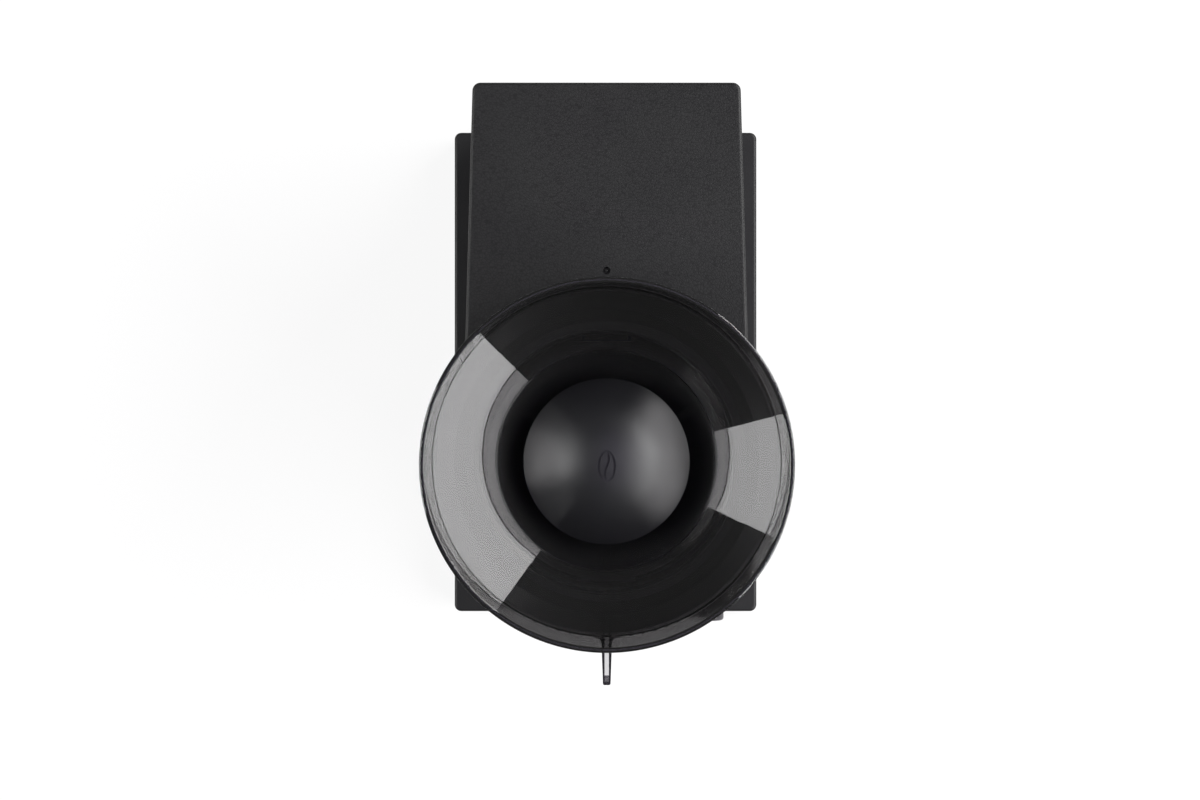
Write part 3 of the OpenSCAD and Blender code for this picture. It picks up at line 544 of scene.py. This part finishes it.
burr_steel = brushed("burr_steel", (0.42, 0.42, 0.44), 0.26, spread=(1, 1, 12))
zinc = brushed("zinc", (0.55, 0.57, 0.60), 0.38, spread=(1, 1, 1))
bronze = brushed("bronze", (0.66, 0.50, 0.26), 0.42, spread=(1, 1, 1))
blued_steel = brushed("blued_steel", (0.030, 0.032, 0.045), 0.34)
copper = brushed("copper", (0.72, 0.36, 0.20), 0.35)
board_green = circuit_board("board_green")

BY_SLOT = {
    "shell_black": body_black, "satin_black": satin_black, "smoked_clear": smoked,
    "button_grey": button_grey, "rubber": rubber_black, "zinc_screw": zinc, "steel": steel,
    "burr_steel": burr_steel, "nylon": nylon, "grey_nylon": grey_nylon, "board_green": board_green,
    "copper": copper, "brass": bronze, "lead_red": lead_red,
}

BY_NODE = {"detent_spring": blued_steel, "base_tray": grey_nylon, "adjust_ring": grey_nylon}

for entry in frame["record"]["subparts"]:
    obj = nodes[entry["node"]]
    obj.data.materials.clear()
    obj.data.materials.append(BY_NODE.get(entry["node"]) or BY_SLOT[entry["material_slot"]])


# ---------- the tower's shell ----------

def build_shell():
    """One moulding with the bay under the head, the bin's hole, the alignment dot and the vents."""
    wall, top_wall, edge, hole_r = 2.6 * MM, 3 * MM, 1.0 * MM, 46 * MM
    obj = object_of(slab(tower_outline, shell_lo.z, shell_hi.z, edge), "tower_shell")
    beside, ahead = 100 * MM, 200 * MM
    cut(obj, box_mesh((-beside, -ahead, 0), (beside, panel_front, head_under)))
    cut(obj, prism(tower_outline(wall), shell_lo.z - PAST, shell_hi.z - top_wall))
    hole = AXIS + Vector((0, 0, shell_hi.z - 2 * PAST))
    cut(obj, cylinder(hole, hole_r, 4 * PAST, steps=ROUND_STEPS))
    dot_y, dot_r, dot_deep = 34.3 * MM, 1.4 * MM, 1.6 * MM
    dot = Vector((0, dot_y, shell_hi.z - dot_deep))
    cut(obj, cylinder(dot, dot_r, 3 * MM, steps=48))
    pin = [(0, -0.1), (0.55, -0.1), (0.45, 0.7), (0, 0.9)]
    add(obj, lathe([(r * MM, dot.z + up * MM) for r, up in pin], dot, 24))
    vents, vent_low, vent_pitch, vent_high, vent_half = 9, 36 * MM, 6 * MM, 2.4 * MM, 24 * MM
    for i in range(vents):
        z = vent_low + vent_pitch * i
        low, high = (-vent_half, shell_hi.y - PAST, z), (vent_half, shell_hi.y + PAST, z + vent_high)
        cut(obj, box_mesh(low, high))
    finish_piece(obj, body_black, "housing", ["body_shell"])


# ---------- the base ----------

def build_base():
    """The slab, hollow from below, with the button's hole, the gland's and the opening under the column."""
    edge, low_edge, wall, corner = 1.0 * MM, 0.3 * MM, 2.5 * MM, 2.8 * MM
    button_hole, gland_hole = 7.15 * MM, 5.6 * MM
    opening_half, opening_front, opening_back = 30 * MM, 20 * MM, 80 * MM
    w, d = base_hi.x - base_lo.x, base_hi.y - base_lo.y

    def outline(inset):
        return rectangle_outline(0, 0, w, d, corner, inset)

    obj = object_of(slab(outline, base_lo.z, base_hi.z, edge, low_edge), "base_slab")
    cut(obj, prism(outline(wall), base_lo.z - PAST, base_hi.z - wall))
    cut(obj, cylinder(Vector((button_x, base_lo.y - PAST, button_z)), button_hole, 2 * PAST, backwards=True))
    cut(obj, cylinder(Vector((gland_x, base_hi.y - PAST, gland_z)), gland_hole, 2 * PAST, backwards=True))
    cut(obj, box_mesh((-opening_half, opening_front, base_hi.z - 2 * PAST),
                      (opening_half, opening_back, base_hi.z + 2 * PAST)))
    finish_piece(obj, base_black, "housing", ["base_cover"])


# ---------- the dial ring ----------

def scale_place(k, r, z):
    """The angle in radians of dot k of the scale, and its place at a radius and a height."""
    angle = math.radians(SCALE_START + DOT_STEP * k)
    place = AXIS + outward(angle) * r
    place.z = z
    return angle, place


def scale_dot(k):
    """A stud on the dial's side, larger where it has a number."""
    size = (0.85 if k % DOTS_A_NUMBER == 0 else 0.55) * MM
    shoulder, length, sunk, below_top = 1.05 * MM, 1.3 * MM, 0.35 * MM, 2 * MM
    stud = lathe([(0, 0), (size, 0), (size, shoulder), (size * 0.7, length), (0, length)], ORIGIN, 20)
    angle, place = scale_place(k, DIAL_R - sunk, DIAL_TOP - below_top)
    turn = Matrix.Rotation(angle, 4, "Z") @ Matrix.Rotation(math.radians(90), 4, "Y")
    return moved(stud, Matrix.Translation(place) @ turn)


def build_dial():
    """The fixed ring: a skirt round the tower's head, a collar under the bin's cone, and the scale's dots."""
    hole_r, lip_r, collar_in, skirt_in = 47.5 * MM, 50.5 * MM, 54.5 * MM, 61.1 * MM
    collar_r, lip_thick, gap, fit = BIN_IN - 0.4 * MM, 1.5 * MM, 1.3 * MM, 0.15 * MM
    flat = shell_hi.z
    profile = soften([
        (hole_r, flat, 0), (skirt_in, flat, 0), (skirt_in, ring_under, 0.3 * MM),
        (DIAL_R, ring_under, 0.5 * MM), (DIAL_R, DIAL_TOP, 0.6 * MM), (collar_r, DIAL_TOP, 0),
        (collar_r, cone_under(collar_r) - gap, 0.3 * MM),
        (collar_in, cone_under(collar_in) - gap, 0.4 * MM),
        (lip_r, flat + lip_thick, 0), (hole_r, flat + lip_thick, 0),
    ])
    obj = object_of(lathe(profile), "dial")
    cut(obj, prism(tower_outline(-fit), ring_under - 1 * MM, flat))
    add(obj, joined(*[scale_dot(k) for k in range(DOTS_A_NUMBER * (NUMBERS - 1) + 1)]))
    finish_piece(obj, dial_black, "housing", ["dial_ring"])


def build_numbers():
    """Raised numerals under the larger dots."""
    size, half_thick, above_under = 4.2 * MM, 0.06 * MM, 4.4 * MM
    for k in range(NUMBERS):
        text = bpy.data.curves.new("numeral_outline", "FONT")
        text.body = str(k + 1)
        text.size = size
        text.align_x, text.align_y = "CENTER", "CENTER"
        text.extrude = half_thick
        writing = placed("numeral_outline", text)
        depsgraph = bpy.context.evaluated_depsgraph_get()
        mesh = bpy.data.meshes.new_from_object(writing.evaluated_get(depsgraph))
        bpy.data.objects.remove(writing)
        bpy.data.curves.remove(text)
        angle, place = scale_place(DOTS_A_NUMBER * k, DIAL_R, ring_under + above_under)
        turn = Matrix.Rotation(angle + math.pi / 2, 4, "Z") @ Matrix.Rotation(math.pi / 2, 4, "X")
        mesh.transform(Matrix.Translation(place) @ turn)
        mesh.name = f"numeral_{k + 1}"
        mesh.materials.clear()
        mesh.materials.append(dial_white)
        obj = placed(mesh.name, mesh)
        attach(obj, "housing")


# ---------- the load bin ----------

def bin_profile():
    """Half a section of the bin: throat, cone, outer wall, crowned rim and inner wall."""
    throat_in, throat_out, throat_low, crown = 24.5 * MM, THROAT_OUT, bin_lo.z, 1.6 * MM
    lean = math.degrees(math.asin(BIN_WALL / 2 / crown))
    rim = arc(BIN_IN + BIN_WALL / 2, bin_hi.z - crown, crown, 90 - lean, 90 + lean, 8)
    return soften([
        (throat_in, throat_low, 0.4 * MM), (throat_out, throat_low, 0.4 * MM),
        (throat_out, cone_under(throat_out), 0.8 * MM), (BIN_IN, cone_under(BIN_IN), 0),
        (BIN_IN, BIN_SKIRT, 0.3 * MM), (BIN_R, BIN_SKIRT, 0.3 * MM),
        (*rim[0], 0.15 * MM), *[(r, z, 0) for r, z in rim[1:-1]], (*rim[-1], 0.15 * MM),
        (BIN_IN, FLOOR_Z, 0.25 * MM), (throat_in, floor_z(throat_in), 2 * MM),
    ], steps=6)


def forwards(points):
    """Plan points of (distance from the bin's centre, sideways), turned to face the front."""
    return [(side, axis_y - far) for far, side in points]


def add_tab(obj):
    """The pointer: a thin slotted fin that flares into the bin's wall, with a foot in front of the dial."""
    root, tip = BIN_R - 0.9 * MM, axis_y - bin_lo.y
    root_w, tip_w, tip_r = 3.7 * MM, 2.7 * MM, 0.6 * MM
    tab_top, tab_low, foot_low, foot_from = 222 * MM, BIN_SKIRT + 0.5 * MM, 198.5 * MM, 65.6 * MM
    narrow, overlap, skin = 0.2 * MM, 0.2 * MM, 1 * MM

    def tab_plan(start, narrow_by=0.0):
        tip_round = arc(tip - tip_r, tip_w / 2 - tip_r, tip_r, 0, 90, 4)
        half = tip_round + [(start, root_w / 2 - narrow_by)]
        return forwards(half[::-1] + [(x, -y) for x, y in half])

    add(obj, prism(tab_plan(root)[::-1], tab_low, tab_top))
    add(obj, prism(tab_plan(foot_from, narrow)[::-1], foot_low, tab_low + overlap))
    flare, flare_high, sunk, inner = 2.6 * MM, 8 * MM, 0.1 * MM, root_w / 2 - 0.7 * MM
    flare_x, flare_y = BIN_R + flare + sunk, root_w / 2 + flare - sunk
    curve = arc(flare_x, flare_y, flare, 180, 270, 8)
    for side in (-1, 1):
        plan = [(root, inner), (root, flare_y)] + curve + [(flare_x, inner)]
        plan = forwards([(x, side * y) for x, y in plan])
        add(obj, prism(plan if side < 0 else plan[::-1], tab_low, tab_low + flare_high))
    slot_half, slot_from, slot_to = 0.75 * MM, BIN_R + 0.2 * MM, tip - skin
    slot = [(slot_from, -slot_half), (slot_from, slot_half), (slot_to, slot_half), (slot_to, -slot_half)]
    cut(obj, prism(forwards(slot), foot_low - 1 * MM, tab_top - skin))


def add_lugs(obj):
    """Three bayonet lugs on the throat."""
    low, high, half, lug_r = 181 * MM, 184 * MM, 2.8 * MM, 30 * MM
    for angle in (60, 180, 300):
        add(obj, about_axis(box_mesh((THROAT_OUT - 0.6 * MM, -half, low), (lug_r, half, high)), angle))


def add_ribs(obj):
    """Two shallow ribs under the floor, in line with the tab's sides."""
    near, far, deep, sunk = 53.5 * MM, BIN_IN + 0.2 * MM, 0.8 * MM, 1 * MM
    apart, half = 1.3 * MM, 0.55 * MM
    section = [(near, cone_under(near) - deep), (far, cone_under(far) - deep),
               (far, cone_under(far) + sunk), (near, cone_under(near) + sunk)]
    for side in (-1, 1):
        faces = [side * apart - half, side * apart + half]
        add(obj, loft([[(x, axis_y - r, z) for r, z in section] for x in faces]))


def build_bin():
    obj = object_of(lathe(bin_profile(), steps=256), "smoked_bin")
    add_tab(obj)
    add_lugs(obj)
    add_ribs(obj)
    finish_piece(obj, smoked, "bin", ["load_bin"])


# ---------- the bean dome ----------

def build_dome():
    """A thin spherical cap with a lip under its edge, on three legs that stand on a ring in the throat."""
    rim_r, edge, wall, lip = 29.5 * MM, 204 * MM, 2 * MM, 1.5 * MM
    height = dome_hi.z - edge
    sphere = (rim_r ** 2 + height ** 2) / (2 * height)
    centre = edge + height - sphere
    steps = 40
    spread = math.degrees(math.asin(rim_r / sphere))
    outer = arc(0, centre, sphere, 90 - spread, 90, steps)
    inner_spread = math.degrees(math.asin((rim_r - wall) / (sphere - wall)))
    inner = arc(0, centre, sphere - wall, 90, 90 - inner_spread, steps)
    bevel = 0.3 * MM
    rim = [(rim_r - wall, edge - lip), (rim_r - bevel, edge - lip), (rim_r, edge - lip + bevel)]
    obj = object_of(lathe(outer + inner + rim), "dome")
    seat_in, seat_out, seat_low, seat_top = 21.5 * MM, 24.2 * MM, 184 * MM, 188 * MM
    seat = [(seat_in, seat_low), (seat_out, seat_low), (seat_out, seat_top), (seat_in, seat_top)]
    add(obj, lathe(seat))
    leg_in, leg_half, skin = 20.5 * MM, 1 * MM, 0.1 * MM
    leg_top = centre + math.sqrt(sphere ** 2 - seat_out ** 2) - skin
    for angle in (30, 150, 270):
        add(obj, about_axis(box_mesh((leg_in, -leg_half, seat_low), (seat_out, leg_half, leg_top)), angle))
    mark_deep = 0.9 * MM
    for groove in bean_mark(dome_hi.z - mark_deep):
        cut(obj, groove)
    finish_piece(obj, satin_black, "bin", ["bean_dome"])


def bean_mark(z):
    """A generic coffee bean drawn with one groove round it and one S-shaped groove along it."""
    half_w, half_h, groove, bend = 3.2 * MM, 5.55 * MM, 0.75 * MM, 0.75 * MM
    middle = Vector((0, axis_y - 1.5 * MM))
    top, steps = z + 4 * MM, 48

    def oval(w, h, start, end):
        """Points of an oval from one angle to the other, in degrees."""
        angles = [math.radians(start + (end - start) * i / steps) for i in range(steps + 1)]
        return [(middle.x + w * math.cos(a), middle.y + h * math.sin(a)) for a in angles]

    def half_ring(start):
        """The groove's half, a degree longer at each end so that the two halves meet."""
        first, last = start - 1, start + 181
        inside = oval(half_w - groove, half_h - groove, last, first)
        return prism(oval(half_w, half_h, first, last) + inside, z, top)

    def crease(side):
        """One side of the S, from the bean's front to its back."""
        span = half_h - groove / 2
        heights = [span * (2 * i / steps - 1) for i in range(steps + 1)]
        sway = [bend * math.sin(math.pi * y / half_h) + side * groove / 2 for y in heights]
        return [(middle.x + x, middle.y + y) for x, y in zip(sway, heights)]

    return half_ring(0), half_ring(180), prism(crease(1) + crease(-1)[::-1], z, top)


# ---------- the catch cup ----------

def build_cup():
    """The catch cup, with a groove below its rim and a seat under it for the locating disc."""
    centre = Vector(((cup_lo.x + cup_hi.x) / 2, (cup_lo.y + cup_hi.y) / 2, 0))
    r, low, top = (cup_hi.x - cup_lo.x) / 2, cup_lo.z, cup_hi.z
    inner, floor = r - 2 * MM, low + 2.6 * MM
    seat_r, seat_top = 12.2 * MM, low + 0.9 * MM
    groove_z, groove_r, half, flank = top - 9 * MM, r - 0.45 * MM, 0.9 * MM, 0.4 * MM
    profile = soften([
        (0, seat_top, 0), (seat_r, seat_top, 0), (seat_r, low, 0.2 * MM),
        (r, low, 1.6 * MM), (r, groove_z - half, 0.2 * MM),
        (groove_r, groove_z - half + flank, 0.2 * MM), (groove_r, groove_z + half - flank, 0.2 * MM),
        (r, groove_z + half, 0.2 * MM), (r, top, 0.9 * MM),
        (inner, top, 0.9 * MM), (inner, floor, 3 * MM), (0, floor, 0),
    ])
    obj = object_of(lathe(profile, centre), "cup")
    finish_piece(obj, satin_black, "catch", ["catch_cup"])


# ---------- the power button ----------

def build_button():
    """The cap with its dished face, and behind the base's wall its neck, its two ears and its stem."""
    r = (button_hi.z - button_lo.z) / 2
    depth, neck_r, stem_r, stem_end = 7 * MM, 5.5 * MM, 3 * MM, button_hi.y - button_lo.y
    ear_r, ear_half, ear_start, ear_end = 9 * MM, 6.5 * MM, 7.2 * MM, 8.7 * MM
    ear_middle, dish = (ear_start + ear_end) / 2, 0.25 * MM
    profile = soften([
        (0, dish, 0), (r - 2.2 * MM, dish, 0.8 * MM), (r - 1.4 * MM, 0, 0.5 * MM), (r, 0, 1.3 * MM),
        (r, depth, 0), (neck_r, depth, 0), (neck_r, ear_middle, 0),
        (stem_r, ear_middle, 0), (stem_r, stem_end, 0.3 * MM), (0, stem_end, 0),
    ], steps=6)
    front = Vector((button_x, button_lo.y, button_z))
    face_front = Matrix.Translation(front) @ Matrix.Rotation(math.radians(-90), 4, "X")
    obj = object_of(moved(lathe(profile, ORIGIN, 96), face_front), "button_cap")
    reach = math.degrees(math.asin(ear_half / ear_r))
    outline = arc(0, 0, ear_r, -reach, reach, 24) + arc(0, 0, ear_r, 180 - reach, 180 + reach, 24)
    add(obj, moved(prism(outline, ear_start, ear_end), face_front))
    finish_piece(obj, button_grey, "button", ["power_button"])


# ---------- the two springs that shorten ----------

def coil(r, wire, height, turns, sides=12, per_turn=40):
    """A compression spring standing on z = 0. r is the coil's radius and wire its round wire's."""
    rings = turns * per_turn
    around = [math.tau * k / sides for k in range(sides)]
    loops = []
    for i in range(rings + 1):
        out = outward(math.tau * i / per_turn)
        middle = out * r + UP * (wire + (height - 2 * wire) * i / rings)
        loops.append([middle + wire * (out * math.cos(a) + UP * math.sin(a)) for a in around])
    return loft(loops)


def build_spring(node, name, axis, wire, turns):
    """A spring that fills its node's box along axis, standing on its low end, with a mesh of its own."""
    low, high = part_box(node)
    middle, size = (low + high) / 2, high - low
    length = size.dot(axis)
    foot = middle - axis * length / 2
    stand = Matrix.Translation(foot) @ UP.rotation_difference(axis).to_matrix().to_4x4()
    obj = object_of(moved(coil(size.x / 2 - wire, wire, length, turns), stand), name)
    finish_piece(obj, steel, "housing", [node])
    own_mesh(obj)


build_shell()
build_base()
build_dial()
build_numbers()
build_bin()
build_dome()
build_cup()
build_button()
build_spring("button_spring", "button_coil", axis=Vector((0, 1, 0)),
             wire=0.4 * MM, turns=4)
build_spring("carrier_spring", "carrier_coil", axis=UP,
             wire=0.8 * MM, turns=4)


# ---------- floor, light and camera ----------

def build_floor():
    """A pale sheet that glows, so that it stays nearly white under soft light."""
    half = 6
    n = Nodes("pale_floor")
    cloud = n.noise(0.4, detail=2)
    n.link(n.mix(cloud, (0.12, 0.12, 0.12), (0.13, 0.13, 0.13)), n.shader.inputs["Base Color"])
    n.put(Roughness=0.9, Emission_Strength=0.86)
    n.shader.inputs["Emission Color"].default_value = (1, 1, 1, 1)
    sheet = [(x * half, y * half, 0) for x, y in ((-1, -1), (1, -1), (1, 1), (-1, 1))]
    obj = object_of(loft([sheet], cap_first=False), "floor")
    obj.data.materials.append(n.material)


def softbox(name, azimuth, width, radiance):
    """An upright rectangular light that faces the grinder."""
    distance, low, high = 0.9, 0.5, 1.75
    data = bpy.data.lights.new(name, "AREA")
    data.shape = "RECTANGLE"
    data.size, data.size_y = width, high - low
    data.energy = radiance * math.pi * width * (high - low)
    aim = outward(math.radians(azimuth))
    obj = placed(name, data)
    obj.location = AXIS + aim * distance + Vector((0, 0, (low + high) / 2))
    obj.rotation_euler = aim.to_track_quat("Z", "Y").to_euler()


def build_light():
    """A wide box at the right, a narrow one at the left, a faint tinted one above and a dim sky."""
    world = bpy.data.worlds.new("soft_sky")
    bpy.context.scene.world = world
    world.use_nodes = True
    sky = world.node_tree.nodes["Background"]
    sky.inputs["Color"].default_value = (1, 1, 1, 1)
    sky.inputs["Strength"].default_value = 0.12
    softbox("key_right", azimuth=3, width=2.1, radiance=7.0)
    softbox("fill_left", azimuth=177, width=0.65, radiance=6.1)
    overhead = bpy.data.lights.new("overhead", "AREA")
    overhead.size = 1.6
    overhead.color = (0.78, 0.68, 1.0)
    overhead.energy = 0.5 * math.pi * overhead.size ** 2
    placed("overhead", overhead).location = (0.6, 0, 2.4)


def build_camera():
    """The photo's view: straight down from 1.147 m, a little left of the middle and in front of it."""
    data = bpy.data.cameras.new("camera")
    data.lens = 79.6
    data.sensor_width = 36
    data.clip_start = 0.05
    obj = placed("camera", data)
    obj.location = (-2.35 * MM, -11.9 * MM, 1.147)
    bpy.context.scene.camera = obj


build_floor()
build_light()
build_camera()
bpy.context.scene.view_settings.view_transform = "Standard"
